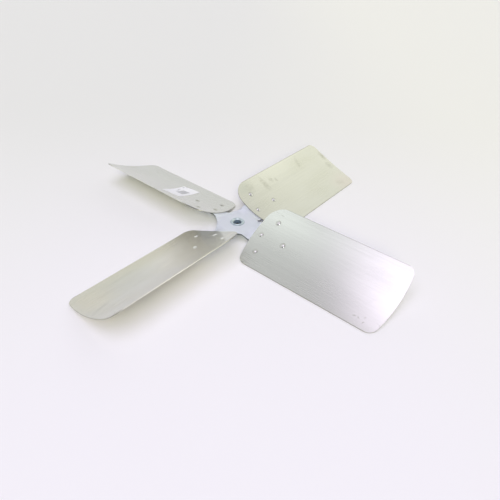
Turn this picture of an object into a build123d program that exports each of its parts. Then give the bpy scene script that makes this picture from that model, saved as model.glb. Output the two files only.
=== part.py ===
# Condenser fan blade: four cambered sheet blades riveted to a pressed spider on a turned hub.
# Millimetres and degrees. The origin is on the bore axis, in the plane where the spider sits on
# the hub's shoulder, and +Z points along the bore. The first blade lies along +X.

import os
from math import asin, cos, radians, sin, sqrt, tan

from build123d import *

# Blades
blade_count = 4
tip_diameter = 558.8
blade_chord = 114.3
blade_camber = 6.2
blade_pitch = 22.3
blade_sheet = 1.27
blade_offset = 3.0
root_radius = 38.2
root_setback_high = 5.0
root_setback_low = 14.9
root_corner_high = 29.0
root_corner_low = 16.0
tip_corner = 13.7

# Rivets, four to a blade in a kite
rivet_diameter = 4.8
rivet_head_diameter = 7.2
rivet_head_height = 1.1
rivet_tail_diameter = 7.0
rivet_tail_height = 1.6
rivet_root_margin = 12.4
rivet_side_step = 11.9
rivet_outer_step = 41.8
rivet_spread = 59.8
rivet_shift = 1.0

# Spider
spider_sheet = 2.0
palm_margin = 8.8
notch_reach = 32.4
notch_round = 20.0
root_clear = 1.2

# Hub and its set screw
bore_diameter = 12.75
hub_neck_wall = 3.6
hub_lip_overhang = 0.8
hub_lip_height = 1.6
hub_barrel_wall = 7.6
hub_barrel_length = 14.7
hub_mouth_depth = 2.2
hub_edge_break = 0.8
screw_diameter = 6.35
screw_length = 9.5
screw_socket = 3.2
screw_socket_depth = 3.5
screw_point_depth = 1.2
screw_back_off = 0.3

# Paper label
label_angle = 180
label_length = 67.0
label_width = 34.0
label_sheet = 0.12
label_span = 134.9
label_turn = 10.7

# Clearances
seat_clearance = 0.05
fit_clearance = 0.05

# Angles between the blades, and the blade's section
blade_step = 360 / blade_count
half_step = radians(blade_step / 2)
half_chord = blade_chord / 2
camber_radius = (half_chord**2 + blade_camber**2) / (2 * blade_camber)
pitch = radians(blade_pitch)
blade_height = spider_sheet

# A blade is drawn across its span in the section plane, and from above in the blade plane.
# Both meet at the deepest line of its trough, which is level with the spider's top face.
chord_line = Vector(0, cos(pitch), sin(pitch))
blade_normal = Vector(0, -sin(pitch), cos(pitch))
section_plane = Plane((0, -blade_offset, blade_height), x_dir=chord_line, z_dir=(1, 0, 0))
blade_plane = Plane(section_plane.origin, x_dir=(1, 0, 0), z_dir=blade_normal)

# Sheets stacked outwards from the axis of the camber
palm_radius = camber_radius + blade_sheet + seat_clearance
cut_depth = half_chord

# Rivets in the blade plane, out along the span and across the chord
rivet_inner = root_radius + rivet_root_margin
rivet_places = (
    (rivet_inner, rivet_shift),
    (rivet_inner + rivet_side_step, rivet_shift + rivet_spread / 2),
    (rivet_inner + rivet_outer_step, rivet_shift),
    (rivet_inner + rivet_side_step, rivet_shift - rivet_spread / 2),
)
rivet_hole_radius = rivet_diameter / 2 + fit_clearance


def trough_rise(across):
    """Height of the blade's top face over the deepest line of its trough."""
    return camber_radius - sqrt(camber_radius**2 - across**2)


def tip_reach(across):
    """Distance along the span at which the blade's top face meets the swept circle of the tips."""
    side = across * cos(pitch) - trough_rise(across) * sin(pitch) - blade_offset
    return sqrt((tip_diameter / 2) ** 2 - side**2)


def rivet_plane(span, across):
    """Plane on the blade's top face at a rivet, square to the curved sheet."""
    swing = asin(across / camber_radius)
    origin = section_plane.from_local_coords(Vector(across, trough_rise(across), span))
    normal = blade_normal * cos(swing) - chord_line * sin(swing)
    return Plane(origin, x_dir=(1, 0, 0), z_dir=normal)


rivet_planes = [rivet_plane(span, across) for span, across in rivet_places]
stack = blade_sheet + seat_clearance + spider_sheet

# Blade: rolled sheet cut to its outline, with the rivet holes square to the sheet
root_high = (root_radius + root_setback_high, half_chord)
root_low = (root_radius + root_setback_low, -half_chord)
tip_low = (tip_reach(-half_chord), -half_chord)
tip_high = (tip_reach(half_chord), half_chord)
blade_corners = (
    (root_high, root_corner_high),
    (root_low, root_corner_low),
    (tip_low, tip_corner),
    (tip_high, tip_corner),
)

with BuildPart() as blade:
    with BuildSketch(section_plane):
        with Locations((0, camber_radius)):
            Circle(camber_radius + blade_sheet)
            Circle(camber_radius, mode=Mode.SUBTRACT)
    extrude(amount=tip_diameter)
    with BuildSketch(blade_plane) as blade_outline:
        with BuildLine():
            ThreePointArc(root_high, (root_radius, 0), root_low)
            Line(root_low, tip_low)
            ThreePointArc(tip_low, (tip_reach(0), 0), tip_high)
            Line(tip_high, root_high)
        make_face()
        for corner, radius in blade_corners:
            fillet(blade_outline.vertices().sort_by_distance(corner)[0], radius)
    extrude(amount=cut_depth, both=True, mode=Mode.INTERSECT)
    with Locations(*rivet_planes):
        Hole(rivet_hole_radius, depth=2 * stack)

# Palm: the end of a spider's arm, curved to the underside of the blade and cut round its rivets
with BuildPart() as palm:
    with BuildSketch(section_plane):
        with Locations((0, camber_radius)):
            Circle(palm_radius + spider_sheet)
            Circle(palm_radius, mode=Mode.SUBTRACT)
    extrude(amount=tip_diameter)
    with BuildSketch(blade_plane):
        with Locations(*rivet_places):
            Circle(palm_margin)
        make_hull()
    extrude(amount=cut_depth, both=True, mode=Mode.INTERSECT)

# Neck: the arm's sheet leaves the flat middle, twists to the pitch and bends to the camber before
# it reaches the blade's root. The notches between the arms are round.
notch_distance = notch_reach + notch_round
bend_start = notch_reach * cos(half_step)
bend_end = root_radius - root_clear
bend_sections = 4
neck_half_width = notch_reach
neck_end = rivet_inner + rivet_side_step / 2
palm_middle = section_plane.from_local_coords(Vector(0, camber_radius - palm_radius, 0))


def neck_plane(place, blend):
    """Section plane of the neck, from the flat middle (0) to the palm (1)."""
    reach = bend_start + (bend_end - bend_start) * place
    height = spider_sheet + (palm_middle.Z - spider_sheet) * blend
    tilt = pitch * blend
    return Plane((reach, palm_middle.Y, height), x_dir=(0, cos(tilt), sin(tilt)), z_dir=(1, 0, 0))


def sheet_point(across, depth, bend):
    """Point in a section of the neck, at a depth under the top face of a sheet curved by bend."""
    swing = asin(across * bend)
    return (across + depth * sin(swing), across * tan(swing / 2) - depth * cos(swing))


def sheet_edge(depth, bend):
    """Line or arc across the neck, at a depth under its top face."""
    low, middle, high = (sheet_point(side * neck_half_width, depth, bend) for side in (-1, 0, 1))
    if bend == 0:
        return Line(low, high)
    return ThreePointArc(low, middle, high)


with BuildPart() as neck:
    for step in range(bend_sections):
        place = step / (bend_sections - 1)
        blend = place**2 * (3 - 2 * place)
        with BuildSketch(neck_plane(place, blend)):
            with BuildLine():
                top_edge = sheet_edge(0, blend / palm_radius)
                bottom_edge = sheet_edge(spider_sheet, blend / palm_radius)
                Line(top_edge @ 0, bottom_edge @ 0)
                Line(top_edge @ 1, bottom_edge @ 1)
            make_face()
    loft()
    with BuildSketch():
        with Locations((bend_start / 2, palm_middle.Y)):
            Rectangle(bend_start, 2 * neck_half_width)
    extrude(amount=spider_sheet)
    with BuildSketch(section_plane.offset(bend_end)):
        with Locations((0, camber_radius)):
            Circle(palm_radius + spider_sheet)
            Circle(palm_radius, mode=Mode.SUBTRACT)
    extrude(amount=neck_end - bend_end)
    with BuildSketch():
        with BuildLine():
            corner_side = neck_end * tan(half_step)
            Polyline((0, 0), (neck_end, -corner_side), (neck_end, corner_side), close=True)
        make_face()
        with PolarLocations(notch_distance + neck_end / 2, 2, -blade_step / 2, blade_step, endpoint=True):
            SlotCenterToCenter(neck_end, 2 * notch_round, mode=Mode.SUBTRACT)
    extrude(amount=cut_depth, both=True, mode=Mode.INTERSECT)

# Spider: four arms about the middle, with the hub's hole and the rivet holes
bore_radius = bore_diameter / 2
hub_neck_radius = bore_radius + hub_neck_wall

with BuildPart() as spider:
    with PolarLocations(0, blade_count):
        add(neck.part)
        add(palm.part)
    Hole(hub_neck_radius + fit_clearance)
    with PolarLocations(0, blade_count):
        with Locations(*rivet_planes):
            Hole(rivet_hole_radius, depth=2 * stack)

# Hub: turned bush, staked over the spider, with a countersunk mouth and a tapped hole across it
hub_lip_radius = hub_neck_radius + hub_lip_overhang
hub_barrel_radius = bore_radius + hub_barrel_wall
hub_top = spider_sheet + hub_lip_height
screw_turn = radians(1.5 * blade_step)
screw_plane = Plane(
    (0, 0, -hub_barrel_length / 2),
    x_dir=(0, 0, 1),
    z_dir=(cos(screw_turn), sin(screw_turn), 0),
)

with BuildPart() as hub:
    with BuildSketch(Plane.XZ):
        with BuildLine():
            Polyline(
                (bore_radius, -hub_barrel_length),
                (hub_barrel_radius, -hub_barrel_length),
                (hub_barrel_radius, 0),
                (hub_neck_radius, 0),
                (hub_neck_radius, spider_sheet),
                (hub_lip_radius, spider_sheet),
                (hub_lip_radius, hub_top),
                (bore_radius + hub_mouth_depth, hub_top),
                (bore_radius, hub_top - hub_mouth_depth),
                close=True,
            )
        make_face()
    revolve(axis=Axis.Z)
    rims = hub.edges().filter_by(GeomType.CIRCLE).group_by(Axis.Z)
    bottom_rims = rims[0]
    top_rim = rims[-1].sort_by(SortBy.RADIUS)[-1]
    chamfer(bottom_rims, hub_edge_break)
    chamfer(top_rim, hub_edge_break)
    with BuildSketch(screw_plane):
        Circle(screw_diameter / 2 + fit_clearance)
    extrude(amount=2 * hub_barrel_radius, mode=Mode.SUBTRACT)

# Set screw: hex socket at the outer end, its point short of the bore
with BuildPart() as set_screw:
    with BuildSketch(screw_plane.offset(bore_radius + screw_back_off)):
        Circle(screw_diameter / 2)
    extrude(amount=screw_length)
    screw_ends = set_screw.faces().filter_by(GeomType.PLANE).sort_by_distance((0, 0, 0))
    chamfer(screw_ends[0].edges(), screw_point_depth)
    with BuildSketch(screw_plane.offset(bore_radius + screw_back_off + screw_length)):
        RegularPolygon(screw_socket / 2, 6, major_radius=False)
    extrude(amount=-screw_socket_depth, mode=Mode.SUBTRACT)

# Rivets: a round head on the blade and a bucked tail under the spider
rivet_radius = rivet_diameter / 2
head_radius = rivet_head_diameter / 2
tail_radius = rivet_tail_diameter / 2
head_seat = trough_rise(head_radius) + seat_clearance / 2
tail_seat = -stack - seat_clearance / 2

with BuildPart() as rivet:
    with BuildSketch(Plane.XZ):
        with BuildLine():
            head_top = (0, head_seat + rivet_head_height)
            tail_end = (0, tail_seat - rivet_tail_height)
            head_dome = TangentArc(head_top, (head_radius, head_seat), tangent=(1, 0))
            Polyline(
                head_dome @ 1,
                (rivet_radius, head_seat),
                (rivet_radius, tail_seat),
                (tail_radius, tail_seat),
                (tail_radius, tail_seat - rivet_tail_height),
                tail_end,
                head_top,
            )
        make_face()
    revolve(axis=Axis.Z)

with BuildPart() as rivets:
    with PolarLocations(0, blade_count):
        with Locations(*rivet_planes):
            add(rivet.part)

# Label: paper that follows the trough of its blade
label_radius = camber_radius - seat_clearance

with BuildPart() as label_stock:
    with BuildSketch(section_plane):
        with Locations((0, camber_radius)):
            Circle(label_radius)
            Circle(label_radius - label_sheet, mode=Mode.SUBTRACT)
    extrude(amount=tip_diameter)
    with BuildSketch(blade_plane):
        with Locations((label_span, 0)):
            Rectangle(label_width, label_length, rotation=label_turn)
    extrude(amount=cut_depth, both=True, mode=Mode.INTERSECT)

with BuildPart() as label:
    add(label_stock.part, rotation=(0, 0, round(label_angle / blade_step) * blade_step))

# One STEP file for each piece, and one for the rivets, which are all alike
os.makedirs("parts", exist_ok=True)
for name, piece in (
    ("spider", spider),
    ("hub", hub),
    ("set_screw", set_screw),
    ("rivets", rivets),
    ("paper_label", label),
):
    piece.part.label = name
    export_step(piece.part, f"parts/{name}.step")

for index in range(blade_count):
    with BuildPart() as placed_blade:
        add(blade.part, rotation=(0, 0, index * blade_step))
    placed_blade.part.label = f"blade_{index + 1}"
    export_step(placed_blade.part, f"parts/blade_{index + 1}.step")
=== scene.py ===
# Condenser fan blade: finishes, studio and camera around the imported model.
# Metres, in the model's own frame: the origin on the bore axis, blade_1 along +X, +Z up.

from math import cos, pi, radians, sin, sqrt

import bpy
from mathutils import Matrix, Vector


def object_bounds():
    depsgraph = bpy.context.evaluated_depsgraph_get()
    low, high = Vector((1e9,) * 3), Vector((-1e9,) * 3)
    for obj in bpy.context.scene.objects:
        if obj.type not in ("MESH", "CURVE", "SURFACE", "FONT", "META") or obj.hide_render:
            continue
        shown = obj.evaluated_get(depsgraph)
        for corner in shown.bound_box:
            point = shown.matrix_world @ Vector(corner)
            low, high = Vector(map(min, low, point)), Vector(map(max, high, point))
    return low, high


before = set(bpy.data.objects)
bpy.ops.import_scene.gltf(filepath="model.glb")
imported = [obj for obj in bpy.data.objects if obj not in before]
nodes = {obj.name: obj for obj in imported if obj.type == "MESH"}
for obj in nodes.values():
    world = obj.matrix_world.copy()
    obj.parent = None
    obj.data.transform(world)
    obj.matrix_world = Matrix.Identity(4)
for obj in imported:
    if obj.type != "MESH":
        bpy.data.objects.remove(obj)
cad_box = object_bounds()

MM = 0.001
QUARTER = pi / 2

# The blade's form, as in the model (mm)
BLADE_CHORD = 114.3
BLADE_OFFSET = 3.0
CAMBER_RADIUS = 266.5
BLADE_PITCH = radians(22.3)

# Camera place, aim and lens, fitted to the photograph
CAMERA_PLACE = (0.39597, -0.4502, 0.4098)
CAMERA_HEADING = radians(39.285)
CAMERA_TILT = radians(52.239)
CAMERA_ROLL = radians(1.722)
CAMERA_LENS = 32.52
CAMERA_SENSOR = 36.0
CAMERA_CLIP = 0.01

# Sockets of a colour Mix node
MIX_FIRST = 6
MIX_SECOND = 7
MIX_RESULT = 2


class Nodes:
    """A node tree and short ways to add nodes to it."""

    def __init__(self, owner):
        owner.use_nodes = True
        self.tree = owner.node_tree
        self.tree.nodes.clear()

    def add(self, kind, **settings):
        node = self.tree.nodes.new("ShaderNode" + kind)
        for name, value in settings.items():
            setattr(node, name, value)
        return node

    def feed(self, socket, value):
        if isinstance(value, bpy.types.NodeSocket):
            self.tree.links.new(value, socket)
        else:
            socket.default_value = value

    def math(self, operation, *values):
        node = self.add("Math", operation=operation)
        for socket, value in zip(node.inputs, values):
            self.feed(socket, value)
        return node.outputs[0]

    def product(self, first, *others):
        for other in others:
            first = self.math("MULTIPLY", first, other)
        return first

    def vector(self, operation, *values):
        node = self.add("VectorMath", operation=operation)
        for socket, value in zip(node.inputs, values):
            self.feed(socket, value)
        return node.outputs["Value" if operation in ("LENGTH", "DOT_PRODUCT") else "Vector"]

    def placed(self, vector, turn, scale=(1, 1, 1)):
        node = self.add("Mapping", vector_type="POINT")
        self.feed(node.inputs["Vector"], vector)
        self.feed(node.inputs["Rotation"], turn)
        self.feed(node.inputs["Scale"], scale)
        return node.outputs[0]

    def split(self, vector):
        node = self.add("SeparateXYZ")
        self.feed(node.inputs[0], vector)
        return node.outputs

    def joined(self, x, y, z):
        node = self.add("CombineXYZ")
        for socket, value in zip(node.inputs, (x, y, z)):
            self.feed(socket, value)
        return node.outputs[0]

    def noise(self, vector, scale=1.0, detail=2.0):
        node = self.add("TexNoise")
        self.feed(node.inputs["Vector"], vector)
        self.feed(node.inputs["Scale"], scale)
        self.feed(node.inputs["Detail"], detail)
        return node.outputs[0]

    def noise_colour(self, vector, scale, detail):
        return self.noise(vector, scale, detail).node.outputs["Color"]

    def range(self, value, low, high, start=0.0, end=1.0):
        """start where the value is below low, end where it is above high, and a smooth step between."""
        node = self.add("MapRange", interpolation_type="SMOOTHSTEP")
        for socket, item in zip(node.inputs, (value, low, high, start, end)):
            self.feed(socket, item)
        return node.outputs[0]

    def fall(self, value, low, high, start=1.0):
        return self.range(value, low, high, start, 0.0)

    def mix(self, factor, first, second, blend="MIX"):
        node = self.add("Mix", data_type="RGBA", blend_type=blend)
        self.feed(node.inputs[0], factor)
        for socket, colour in ((MIX_FIRST, first), (MIX_SECOND, second)):
            linked = isinstance(colour, bpy.types.NodeSocket)
            self.feed(node.inputs[socket], colour if linked else (*colour, 1))
        return node.outputs[MIX_RESULT]

    def bump(self, height, distance, strength):
        node = self.add("Bump")
        self.feed(node.inputs["Height"], height)
        self.feed(node.inputs["Distance"], distance)
        self.feed(node.inputs["Strength"], strength)
        return node.outputs[0]


def new_material(name, metallic=0.0):
    material = bpy.data.materials.new(name)
    shader = Nodes(material)
    surface = shader.add("BsdfPrincipled")
    surface.inputs["Metallic"].default_value = metallic
    output = shader.add("OutputMaterial")
    shader.feed(output.inputs["Surface"], surface.outputs[0])
    return material, shader, surface


def lay_finish(shader, surface, colour, roughness, height, depth, strength):
    """Feed a surface its colour, its roughness and the height of its grain."""
    shader.feed(surface.inputs["Base Color"], colour)
    shader.feed(surface.inputs["Roughness"], roughness)
    shader.feed(surface.inputs["Normal"], shader.bump(height, depth, strength))


def dress(obj, material):
    obj.data.materials.clear()
    obj.data.materials.append(material)


# Where most of a noise's values lie
NOISE_REACH = (0.2, 0.8)

# A face whose normal has a smaller share than this along the sheet's normal is a sheared wall
WALL_FACING = (0.35, 0.7)


# Blade finish

# Brushing and film: noise scales along the span and across the chord, and the streaks' shades
FINE_BRUSHING = (14, 1500, 1)
COARSE_BRUSHING = (4, 420, 1)
FILM_CLOUDS = (9, 26, 1)
FILM_REACH = (0.35, 0.75)
STREAK_REACH = (0.3, 0.7)
STREAK_SHADES = (0.982, 1.012)
BRUSH_DEPTH = 0.02 * MM
BRUSH_STRENGTH = 0.2
BRUSH_ANISOTROPY = 0.85

# Roughness of clean metal, and what brushing and film add to it
CLEAN_ROUGHNESS = 0.175
BRUSH_ROUGHNESS = 0.07
FILM_ROUGHNESS = 0.10

# Stains, whose colour also serves the painted shade round the rivets: colour, how far a mark fades, the
# breaks in it and how far its outline wanders
STAIN_AND_SHADE_COLOUR = (0.33, 0.32, 0.25)
MARK_FADE = (0.1, 1.2)
BREAK_SCALE = 260
BREAK_REACH = (0.32, 0.62)
BREAK_STRENGTH = (0.35, 1.0)
WANDER_SCALE = 150
WANDER = 9 * MM

# Rivet places along the span and across the chord (mm), and the painted shade round their heads, standing
# in for the shadow in the crevice at each head's rim
RIVET_PLACES = ((50.6, 1.0), (62.5, 30.9), (92.4, 1.0), (62.5, -28.9))
RIVET_SHADE = {1: 0.55, 2: 0.55, 3: 0.8, 4: 0.25}
RIVET_SHADE_RING = (3.5 * MM, 4.9 * MM)

# Thin painted lines along the blade's two long edges, and the root and tip where the edge and its line are
# painted darker as shade
PAINTED_LINE_OUTER = 0.3 * MM
PAINTED_LINE_INNER = 1.0 * MM
LOW_PAINTED_LINE_STRENGTH = 0.8
HIGH_PAINTED_LINE_STRENGTH = 0.65
EDGE_END_SHADE = (0.44, 0.44, 0.38)
EDGE_END_SHADE_ROOT = (66 * MM, 80 * MM)
EDGE_END_SHADE_TIP = (250 * MM, 266 * MM)

# Colours of each blade: clean metal, film, and the sheared edge with its painted line: duller metal and
# painted shade on blades 1 and 2, a painted highlight on blades 3 and 4
BLADE_TINTS = {
    1: ((0.80, 0.81, 0.79), (0.76, 0.77, 0.75), (0.40, 0.40, 0.36)),
    2: ((0.80, 0.80, 0.74), (0.76, 0.76, 0.68), (0.44, 0.44, 0.38)),
    3: ((0.79, 0.79, 0.77), (0.76, 0.76, 0.74), (0.86, 0.86, 0.80)),
    4: ((0.78, 0.78, 0.74), (0.74, 0.73, 0.66), (0.90, 0.89, 0.82)),
}

# Wide patches of tone: place along the span and across the chord, length, width (mm), strength, colour
BLADE_TONES = {
    1: (),
    2: (
        (140, 56, 190, 50, 0.6, (0.90, 0.90, 0.83)),
        (58, 48, 46, 40, 0.5, (0.66, 0.68, 0.62)),
        (258, -50, 80, 70, 0.6, (0.83, 0.76, 0.72)),
    ),
    3: (),
    4: (
        # Painted reflection: a paler patch over blade_4's root, lifting the dark reflection of blade_3's
        # shaded underside
        (104, 0, 150, 170, 0.95, (1.0, 0.975, 0.90)),
        (165, -54, 280, 62, 0.5, (0.78, 0.75, 0.58)),
        (254, -24, 70, 80, 0.5, (0.86, 0.81, 0.68)),
    ),
}

# Marks: place along the span and across the chord, length, width (mm), turn (degrees) and strength
BLADE_MARKS = {
    1: (
        (241, -43, 7, 2.5, 20, 0.35),
        (247, -43, 6, 2, -35, 0.4),
        (256, -46, 3, 2.5, 0, 0.5),
        (254, -39, 5, 1.8, 60, 0.3),
        (248, -13, 22, 1.6, 55, 0.16),
        (275, -39, 3, 2, 0, 0.45),
        (51, 46, 9, 1.5, -15, 0.35),
        (60, 46, 11, 1.6, -25, 0.3),
    ),
    2: (
        (103.5, 35, 14, 32, 4, 0.34),
        (122, 36, 10, 12, 0, 0.3),
        (132, 31, 8, 10, 0, 0.3),
        (206, 39, 12, 26, -20, 0.25),
        (274, 25, 12, 22, 0, 0.4),
        (268, 1, 16, 20, 0, 0.28),
        (246, -41, 24, 18, 0, 0.16),
        (70, 40, 26, 20, 0, 0.16),
    ),
    3: (
        (237, -35, 12, 5, 0, 0.25),
        (269, 1, 5, 24, -10, 0.4),
    ),
    4: (
        (203, 4, 6, 3, 0, 0.4),
        (194, 0, 6, 3, 0, 0.4),
        (257, 6, 26, 9, 12, 0.24),
        (269, 9, 18, 7, 20, 0.2),
        (240, -22, 40, 8, 4, 0.12),
        (200, -38, 70, 8, 0, 0.10),
        # Painted shade: a dark spot for a small dent in the tip edge
        (266, 55, 5, 4, 0, 0.5),
    ),
}


def plan_place(span, across):
    """Place of a point of a blade's top face, seen from above, with the blade along +X."""
    rise = CAMBER_RADIUS - sqrt(CAMBER_RADIUS**2 - across**2)
    side = across * cos(BLADE_PITCH) - rise * sin(BLADE_PITCH) - BLADE_OFFSET
    return (span * MM, side * MM, 0)


def soft_spot(shader, place, span, across, length, width, turn):
    """1 in the middle of a mark on a blade and 0 outside it."""
    centred = shader.vector("SUBTRACT", place, plan_place(span, across))
    flat = shader.placed(centred, turn=(0, 0, -radians(turn)), scale=(1, 1, 0))
    shaped = shader.vector("MULTIPLY", flat, (2 / (length * MM), 2 / (width * MM), 0))
    return shader.fall(shader.vector("LENGTH", shaped), *MARK_FADE)


def marked(shader, index, colour, place, level, sheet):
    """A blade's colour with its wide patches, one of them painted light, its marks and the painted shade
    round its rivets.
    """
    for span, across, length, width, strength, tone in BLADE_TONES[index]:
        patch = soft_spot(shader, place, span, across, length, width, 0)
        colour = shader.mix(shader.product(patch, strength), colour, tone)
    broken = shader.range(shader.noise(sheet, BREAK_SCALE, detail=4), *BREAK_REACH, *BREAK_STRENGTH)
    wander = shader.vector("SUBTRACT", shader.noise_colour(sheet, WANDER_SCALE, 4), (0.5, 0.5, 0.5))
    ragged = shader.vector("ADD", place, shader.vector("MULTIPLY", wander, (WANDER, WANDER, WANDER)))
    for span, across, length, width, turn, strength in BLADE_MARKS[index]:
        spot = soft_spot(shader, ragged, span, across, length, width, turn)
        colour = shader.mix(shader.product(spot, broken, strength), colour, STAIN_AND_SHADE_COLOUR)
    # Painted shade in a ring round each rivet head
    for span, across in RIVET_PLACES:
        apart = shader.vector("LENGTH", shader.vector("SUBTRACT", level, plan_place(span, across)))
        rivet_shade = shader.fall(apart, *RIVET_SHADE_RING, RIVET_SHADE[index])
        colour = shader.mix(shader.product(rivet_shade, broken), colour, STAIN_AND_SHADE_COLOUR)
    return colour


def sheared_walls_and_painted_lines(shader, colour, place, face, edge_wall_and_painted_line):
    """A blade's colour with its sheared walls and thin painted lines along its two long edges: painted
    shade on blades 1 and 2, a painted highlight on blades 3 and 4, and painted shade at root and tip.
    """
    normal = shader.add("TexCoord").outputs["Normal"]
    facing = shader.math("ABSOLUTE", shader.vector("DOT_PRODUCT", normal, face))
    along, side = shader.split(place)[:2]
    low_side = plan_place(0, -BLADE_CHORD / 2)[1]
    high_side = plan_place(0, BLADE_CHORD / 2)[1]
    # Thin painted lines on the top face along both long edges: painted shade on blades 1 and 2, a painted
    # highlight on blades 3 and 4
    low_painted_line = shader.fall(side, low_side + PAINTED_LINE_OUTER, low_side + PAINTED_LINE_INNER, LOW_PAINTED_LINE_STRENGTH)
    high_painted_line = shader.range(side, high_side - PAINTED_LINE_INNER, high_side - PAINTED_LINE_OUTER, 0.0, HIGH_PAINTED_LINE_STRENGTH)
    painted_lines = shader.math("MAXIMUM", low_painted_line, high_painted_line)
    walls_and_painted_lines = shader.math("MAXIMUM", shader.fall(facing, *WALL_FACING), painted_lines)
    painted_shade_at_ends = shader.math("MAXIMUM", shader.range(along, *EDGE_END_SHADE_TIP), shader.fall(along, *EDGE_END_SHADE_ROOT))
    return shader.mix(walls_and_painted_lines, colour, shader.mix(painted_shade_at_ends, edge_wall_and_painted_line, EDGE_END_SHADE))


def blade_material(index, metal, film, edge_wall_and_painted_line):
    """Rolled aluminium sheet, brushed along the span, with a thin film of oxide."""
    material, shader, surface = new_material(f"blade_sheet_{index}", metallic=1.0)
    turn = (index - 1) * QUARTER
    place = shader.placed(shader.add("TexCoord").outputs["Object"], turn=(0, 0, -turn))
    level = shader.vector("MULTIPLY", place, (1, 1, 0))
    sheet = shader.vector("ADD", level, (0, 0, index))
    fine = shader.noise(shader.vector("MULTIPLY", sheet, FINE_BRUSHING), detail=3)
    coarse = shader.noise(shader.vector("MULTIPLY", sheet, COARSE_BRUSHING), detail=3)
    cloud = shader.noise(shader.vector("MULTIPLY", sheet, FILM_CLOUDS), detail=4)
    colour = shader.mix(shader.range(cloud, *FILM_REACH), metal, film)
    streaks = shader.range(coarse, *STREAK_REACH, *STREAK_SHADES)
    colour = shader.mix(1.0, colour, shader.joined(streaks, streaks, streaks), blend="MULTIPLY")
    colour = marked(shader, index, colour, place, level, sheet)
    turned = Matrix.Rotation(turn, 3, "Z")
    face = turned @ Vector((0, -sin(BLADE_PITCH), cos(BLADE_PITCH)))
    chord = turned @ Vector((0, cos(BLADE_PITCH), sin(BLADE_PITCH)))
    colour = sheared_walls_and_painted_lines(shader, colour, place, face, edge_wall_and_painted_line)
    grain = shader.math("ADD", shader.product(fine, BRUSH_ROUGHNESS), shader.product(cloud, FILM_ROUGHNESS))
    roughness = shader.math("ADD", grain, CLEAN_ROUGHNESS)
    lay_finish(shader, surface, colour, roughness, fine, BRUSH_DEPTH, BRUSH_STRENGTH)
    surface.inputs["Anisotropic"].default_value = BRUSH_ANISOTROPY
    tangent = shader.add(
        "VectorTransform", vector_type="VECTOR", convert_from="OBJECT", convert_to="WORLD"
    )
    shader.feed(tangent.inputs[0], chord)
    shader.feed(surface.inputs["Tangent"], tangent.outputs[0])
    return material


for index, (metal, film, edge_wall_and_painted_line) in BLADE_TINTS.items():
    dress(nodes[f"blade_{index}"], blade_material(index, metal, film, edge_wall_and_painted_line))


# Spider finish

ZINC = (0.83, 0.86, 0.93)
ZINC_PALE = (0.86, 0.89, 0.95)
ZINC_REACH = (0.3, 0.7)
ZINC_ROUGHNESS = (0.64, 0.74)
# Painted shade in a ring round the hub's lip, standing in for the lip's shadow and the gap beside it
LIP_PAINTED_SHADE = (0.30, 0.38, 0.42)
LIP_PAINTED_SHADE_RING = (10.8 * MM, 11.9 * MM)
LIP_PAINTED_SHADE_STRENGTH = 0.6

# Sheared walls: duller metal and painted shade, darker still as painted shade on blade_4's side
ZINC_WALL_DULL_AND_SHADED = (0.45, 0.46, 0.44)
ZINC_WALL_SHADED = (0.22, 0.25, 0.23)
SHADED_SIDE = (-14 * MM, -8 * MM)


def spider_material():
    """Bright zinc plating with a bluish cast, with painted shade round the hub's lip, and sheared walls
    darkened by duller metal and painted shade.
    """
    material, shader, surface = new_material("zinc_plated_steel", metallic=1.0)
    place = shader.add("TexCoord").outputs["Object"]
    cloud = shader.noise(place, 60, detail=4)
    grain = shader.noise(place, 1800, detail=2)
    colour = shader.mix(shader.range(cloud, *ZINC_REACH), ZINC, ZINC_PALE)
    reach = shader.vector("LENGTH", shader.vector("MULTIPLY", place, (1, 1, 0)))
    # Painted shade round the hub's lip
    colour = shader.mix(shader.fall(reach, *LIP_PAINTED_SHADE_RING, LIP_PAINTED_SHADE_STRENGTH), colour, LIP_PAINTED_SHADE)
    facing = shader.math("ABSOLUTE", shader.split(shader.add("TexCoord").outputs["Normal"])[2])
    shaded = shader.fall(shader.split(place)[1], *SHADED_SIDE)
    # Painted shade on the sheared walls, darker on blade_4's side
    dull_and_shaded_wall = shader.mix(shaded, ZINC_WALL_DULL_AND_SHADED, ZINC_WALL_SHADED)
    colour = shader.mix(shader.fall(facing, *WALL_FACING), colour, dull_and_shaded_wall)
    roughness = shader.range(cloud, *NOISE_REACH, *ZINC_ROUGHNESS)
    lay_finish(shader, surface, colour, roughness, grain, 0.02 * MM, 0.4)
    return material


dress(nodes["spider"], spider_material())


# Hub, rivets and set screw

TURNED_STEEL = (0.58, 0.68, 0.74)
TURNED_STEEL_PALE = (0.72, 0.80, 0.85)
TURNED_ROUGHNESS = (0.36, 0.50)

RIVET_METAL = (0.70, 0.70, 0.69)
RIVET_METAL_PALE = (0.78, 0.78, 0.77)
# Painted shade for blade_3's rivet heads and a painted highlight for blade_4's
RIVET_PAINTED_SHADE = (0.60, 0.60, 0.57)
RIVET_PAINTED_HIGHLIGHT = (0.97, 0.97, 0.95)
RIVET_ROUGHNESS = (0.08, 0.22)

# Rivets further out than this along -X are blade_3's, and along -Y blade_4's
RIVETS_BEYOND = (-45 * MM, -40 * MM)

BLACK_STEEL = (0.03, 0.03, 0.032)
BLACK_STEEL_PALE = (0.07, 0.07, 0.075)
BLACK_ROUGHNESS = (0.34, 0.48)


def hub_material():
    """Steel from the lathe, with fine rings round the bore axis."""
    material, shader, surface = new_material("turned_steel", metallic=1.0)
    x, y, z = shader.split(shader.add("TexCoord").outputs["Object"])
    reach = shader.math("SQRT", shader.math("ADD", shader.product(x, x), shader.product(y, y)))
    rings = shader.noise(shader.joined(reach, z, 0), 2600, detail=3)
    colour = shader.mix(rings, TURNED_STEEL, TURNED_STEEL_PALE)
    roughness = shader.range(rings, *NOISE_REACH, *TURNED_ROUGHNESS)
    lay_finish(shader, surface, colour, roughness, rings, 0.04 * MM, 0.5)
    return material


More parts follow.
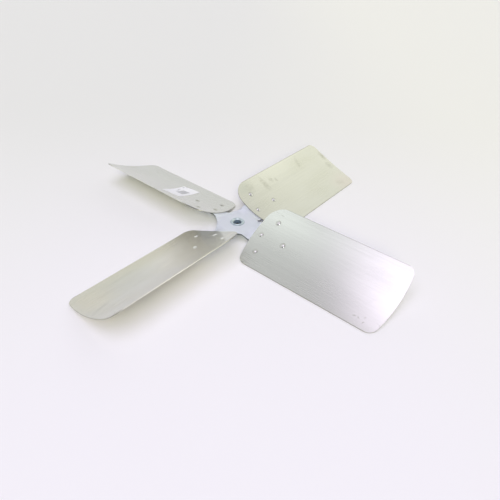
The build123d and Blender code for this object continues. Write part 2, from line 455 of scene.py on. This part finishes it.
def rivet_material():
    """Bright rivet heads, with painted shade on blade_3's and a painted highlight on blade_4's."""
    material, shader, surface = new_material("rivet_metal", metallic=1.0)
    place = shader.add("TexCoord").outputs["Object"]
    x, y = shader.split(place)[:2]
    grain = shader.noise(place, 900, detail=4)
    colour = shader.mix(grain, RIVET_METAL, RIVET_METAL_PALE)
    colour = shader.mix(shader.fall(x, *RIVETS_BEYOND), colour, RIVET_PAINTED_SHADE)
    colour = shader.mix(shader.fall(y, *RIVETS_BEYOND), colour, RIVET_PAINTED_HIGHLIGHT)
    roughness = shader.range(grain, *NOISE_REACH, *RIVET_ROUGHNESS)
    lay_finish(shader, surface, colour, roughness, grain, 0.03 * MM, 0.5)
    return material


def set_screw_material():
    """Blackened steel with a fine grain."""
    material, shader, surface = new_material("black_steel", metallic=1.0)
    grain = shader.noise(shader.add("TexCoord").outputs["Object"], 1500, detail=4)
    colour = shader.mix(grain, BLACK_STEEL, BLACK_STEEL_PALE)
    roughness = shader.range(grain, *NOISE_REACH, *BLACK_ROUGHNESS)
    lay_finish(shader, surface, colour, roughness, grain, 0.03 * MM, 0.5)
    return material


dress(nodes["hub"], hub_material())
dress(nodes["rivets"], rivet_material())
dress(nodes["set_screw"], set_screw_material())


# Label finish

PAPER = (0.91, 0.92, 0.95)
PAPER_PALE = (0.95, 0.955, 0.97)
PAPER_ROUGHNESS = (0.42, 0.56)
INK = (0.40, 0.41, 0.42)
INK_REACH = (0.3, 0.6)
INK_STRENGTH = (0.55, 0.9)

# The label's blade lies along -X, and the label is turned a little on it
LABEL_BLADE_TURN = 2 * QUARTER
LABEL_TURN = radians(10.7)

# Print: place along the span and across the chord, length and width (mm), and how soft its edges are
LABEL_PRINT = (
    (132.0, -2.0, 14.0, 24.0),
    (147.5, -7.0, 2.4, 8.0),
    (153.0, -23.5, 2.4, 6.0),
    (150.0, -29.0, 2.0, 4.0),
    (141.5, 1.5, 1.8, 7.0),
)
PRINT_SOFTNESS = 0.6


def within(shader, distance, half):
    """1 inside a printed bar's half size (mm) and 0 outside it."""
    return shader.fall(distance, (half - PRINT_SOFTNESS) * MM, (half + PRINT_SOFTNESS) * MM)


def label_material():
    """White paper with a plain printed block and a few short bars."""
    material, shader, surface = new_material("label_paper")
    coordinates = shader.add("TexCoord").outputs["Object"]
    place = shader.placed(coordinates, turn=(0, 0, -LABEL_BLADE_TURN), scale=(1, 1, 0))
    fibres = shader.noise(coordinates, 700, detail=4)
    smudge = shader.noise(coordinates, 420, detail=3)
    colour = shader.mix(fibres, PAPER, PAPER_PALE)
    for span, across, length, width in LABEL_PRINT:
        centred = shader.vector("SUBTRACT", place, plan_place(span, across))
        flat = shader.vector("ABSOLUTE", shader.placed(centred, turn=(0, 0, -LABEL_TURN)))
        along, over = shader.split(flat)[:2]
        bar_along = within(shader, along, length / 2)
        bar_over = within(shader, over, width * cos(BLADE_PITCH) / 2)
        ink = shader.product(bar_along, bar_over, shader.range(smudge, *INK_REACH, *INK_STRENGTH))
        colour = shader.mix(ink, colour, INK)
    roughness = shader.range(fibres, *NOISE_REACH, *PAPER_ROUGHNESS)
    lay_finish(shader, surface, colour, roughness, fibres, 0.02 * MM, 0.4)
    return material


dress(nodes["paper_label"], label_material())


# Floor

FLOOR_REACH = 9.0
FLOOR_CORNERS = ((-1, -1), (1, -1), (1, 1), (-1, 1))
# Painted light: the floor's colour grows lighter and bluer towards the camera and the middle, and lighter
# and warmer at the far right, as the studio light falls
FLOOR_FAR_LEFT = (0.765, 0.77, 0.775)
FLOOR_FAR_RIGHT = (0.825, 0.83, 0.795)
FLOOR_NEAR_SIDES = (0.862, 0.858, 0.895)
FLOOR_NEAR_MIDDLE = (0.88, 0.86, 0.945)
FLOOR_ROUGHNESS = (0.75, 0.9)
FLOOR_SPECULAR = 0.2

# Where one shade of the floor passes into another, across the view and away from the camera
FLOOR_NEAR_TO_FAR = (-0.45, 0.55)
FLOOR_LEFT_TO_RIGHT = (-0.2, 0.6)
FLOOR_MIDDLE_TO_SIDES = (0.15, 0.5)


def floor_material():
    """Pale matt paper, with painted light: lighter and bluer near the camera and in the middle, lighter and
    warmer at the far right.
    """
    material, shader, surface = new_material("floor")
    place = shader.placed(shader.add("TexCoord").outputs["Object"], turn=(0, 0, -CAMERA_HEADING))
    across, depth = shader.split(place)[:2]
    near = shader.fall(depth, *FLOOR_NEAR_TO_FAR)
    far_shade = shader.mix(shader.range(across, *FLOOR_LEFT_TO_RIGHT), FLOOR_FAR_LEFT, FLOOR_FAR_RIGHT)
    middle = shader.fall(shader.math("ABSOLUTE", across), *FLOOR_MIDDLE_TO_SIDES)
    near_shade = shader.mix(middle, FLOOR_NEAR_SIDES, FLOOR_NEAR_MIDDLE)
    paper = shader.noise(place, 900, detail=3)
    shader.feed(surface.inputs["Base Color"], shader.mix(near, far_shade, near_shade))
    shader.feed(surface.inputs["Roughness"], shader.range(paper, *NOISE_REACH, *FLOOR_ROUGHNESS))
    surface.inputs["Specular IOR Level"].default_value = FLOOR_SPECULAR
    return material


floor_mesh = bpy.data.meshes.new("floor")
floor_level = cad_box[0][2]
corners = [(x * FLOOR_REACH, y * FLOOR_REACH, floor_level) for x, y in FLOOR_CORNERS]
floor_mesh.from_pydata(corners, [], [(0, 1, 2, 3)])
floor = bpy.data.objects.new("floor", floor_mesh)
bpy.context.collection.objects.link(floor)
dress(floor, floor_material())


# Lamps: two wide ones light the floor and the label, and don't show in the metal

# Degrees to the right of the camera, above the floor and wide, then strength and colour
LAMPS = {
    "lamp_low": (0, 33, 26, 1.66, (0.99, 0.99, 0.56)),
    "lamp_high": (-15, 68, 64, 1.928, (0.845, 0.822, 1.0)),
}


def view_direction(across, rise):
    """A direction from the object, by degrees to the right of the camera and degrees above the floor."""
    heading = CAMERA_HEADING + radians(across)
    level = cos(radians(rise))
    return Vector((sin(heading) * level, -cos(heading) * level, sin(radians(rise))))


def soft_lamp(name, across, rise, spread, strength, colour):
    """Wide, even lamp far from the object, left out of reflections."""
    lamp = bpy.data.lights.new(name, "SUN")
    lamp.angle = radians(spread)
    lamp.energy = strength
    lamp.color = colour
    holder = bpy.data.objects.new(name, lamp)
    bpy.context.collection.objects.link(holder)
    holder.rotation_euler = view_direction(across, rise).to_track_quat("Z", "Y").to_euler()
    holder.visible_glossy = False


for name, settings in LAMPS.items():
    soft_lamp(name, *settings)


# World: what the metal reflects, a faint glow for the rest of the light and a plain wall for the camera

# Dome, warmer to the right of the camera, with a bright stretch low at the far right
DOME_LEFT = (0.78, 0.79, 0.77)
DOME_RIGHT = (0.96, 0.97, 0.86)
DOME_ACROSS = (-0.1, 0.7)
HORIZON = (1.5, 1.47, 1.25)
HORIZON_ACROSS = (0.76, 0.9)
HORIZON_HEIGHT = (0.15, 0.3)

# Overhead part: bright towards -Y, brightest in one corner, grey towards +Y, dimmed beside the panel
OVERHEAD_BRIGHT = (1.06, 1.12, 1.07)
OVERHEAD_GREY = (0.52, 0.52, 0.52)
OVERHEAD_Y = (-0.28, 0.22)
OVERHEAD_HEIGHT = (0.70, 0.82)
CORNER = (1.36, 1.43, 1.37)
CORNER_X = (-0.50, -0.38)
CORNER_Y = (-0.30, 0.0)
BORDER_SHADE = (0.86, 0.83, 0.87)
BORDER_X = (-0.42, -0.34)

# Soft panel overhead, which shows as the glare on blade_1, with a slanted left edge
PANEL = (1.85, 1.68, 1.95)
PANEL_SLANT = 0.12
PANEL_LEFT = (-0.37, -0.18)
PANEL_RIGHT = (0.02, 0.12)
PANEL_FRONT = (-0.42, -0.32)
PANEL_BACK = (0.29, 0.43)
PANEL_HEIGHT = (0.5, 0.6)

# Dim room on the camera's side, with one round lamp in it
ROOM = (0.26, 0.26, 0.30)
ROOM_AWAY = (-0.36, -0.20)
ROUND_LAMP = (4.0, 3.95, 3.8)
ROUND_LAMP_RISE = 46
ROUND_LAMP_RADII = (16, 8)

# Glow for the light that isn't mirrored, stronger towards +Y, and the wall behind the floor
GLOW_FRONT = (0.14, 0.14, 0.15)
GLOW_BACK = (0.66, 0.65, 0.66)
GLOW_Y = (0.1, 0.7)
WALL = (0.83, 0.835, 0.83)


def reflected_light(shader, direction):
    """What the metal reflects in each direction."""
    x, y, height = shader.split(direction)
    across, away = shader.split(shader.placed(direction, turn=(0, 0, -CAMERA_HEADING)))[:2]
    dome = shader.mix(shader.range(across, *DOME_ACROSS), DOME_LEFT, DOME_RIGHT)
    low_right = shader.product(shader.range(across, *HORIZON_ACROSS), shader.fall(height, *HORIZON_HEIGHT))
    dome = shader.mix(low_right, dome, HORIZON)
    overhead = shader.mix(shader.range(y, *OVERHEAD_Y), OVERHEAD_BRIGHT, OVERHEAD_GREY)
    in_corner = shader.product(shader.fall(x, *CORNER_X), shader.fall(y, *CORNER_Y))
    overhead = shader.mix(in_corner, overhead, CORNER)
    slanted = shader.math("SUBTRACT", x, shader.product(y, PANEL_SLANT))
    overhead = shader.mix(shader.range(slanted, *BORDER_X), overhead, BORDER_SHADE, blend="MULTIPLY")
    light = shader.mix(shader.range(height, *OVERHEAD_HEIGHT), dome, overhead)
    in_panel = shader.product(
        shader.range(slanted, *PANEL_LEFT),
        shader.fall(x, *PANEL_RIGHT),
        shader.range(y, *PANEL_FRONT),
        shader.fall(y, *PANEL_BACK),
        shader.range(height, *PANEL_HEIGHT),
    )
    light = shader.mix(in_panel, light, PANEL)
    light = shader.mix(shader.fall(away, *ROOM_AWAY), light, ROOM)
    towards_lamp = shader.vector("DOT_PRODUCT", direction, view_direction(0, ROUND_LAMP_RISE))
    in_lamp = shader.range(towards_lamp, *(cos(radians(radius)) for radius in ROUND_LAMP_RADII))
    return shader.mix(in_lamp, light, ROUND_LAMP)


def studio_world():
    world = bpy.data.worlds.new("studio")
    bpy.context.scene.world = world
    shader = Nodes(world)
    direction = shader.add("TexCoord").outputs["Generated"]
    glow = shader.mix(shader.range(shader.split(direction)[1], *GLOW_Y), GLOW_FRONT, GLOW_BACK)
    ray = shader.add("LightPath").outputs
    mirrored = shader.math("MAXIMUM", ray["Is Glossy Ray"], ray["Is Transmission Ray"])
    light = shader.mix(mirrored, glow, reflected_light(shader, direction))
    light = shader.mix(ray["Is Camera Ray"], light, WALL)
    background = shader.add("Background")
    shader.feed(background.inputs["Color"], light)
    shader.feed(shader.add("OutputWorld").inputs["Surface"], background.outputs[0])


studio_world()


# Camera

camera_data = bpy.data.cameras.new("camera")
camera_data.sensor_width = CAMERA_SENSOR
camera_data.lens = CAMERA_LENS
camera_data.clip_start = CAMERA_CLIP
camera = bpy.data.objects.new("camera", camera_data)
aim = Matrix.Rotation(CAMERA_HEADING, 4, "Z") @ Matrix.Rotation(CAMERA_TILT, 4, "X")
camera.matrix_world = Matrix.Translation(CAMERA_PLACE) @ aim @ Matrix.Rotation(CAMERA_ROLL, 4, "Z")
bpy.context.collection.objects.link(camera)
bpy.context.scene.camera = camera
bpy.context.scene.view_settings.view_transform = "Standard"
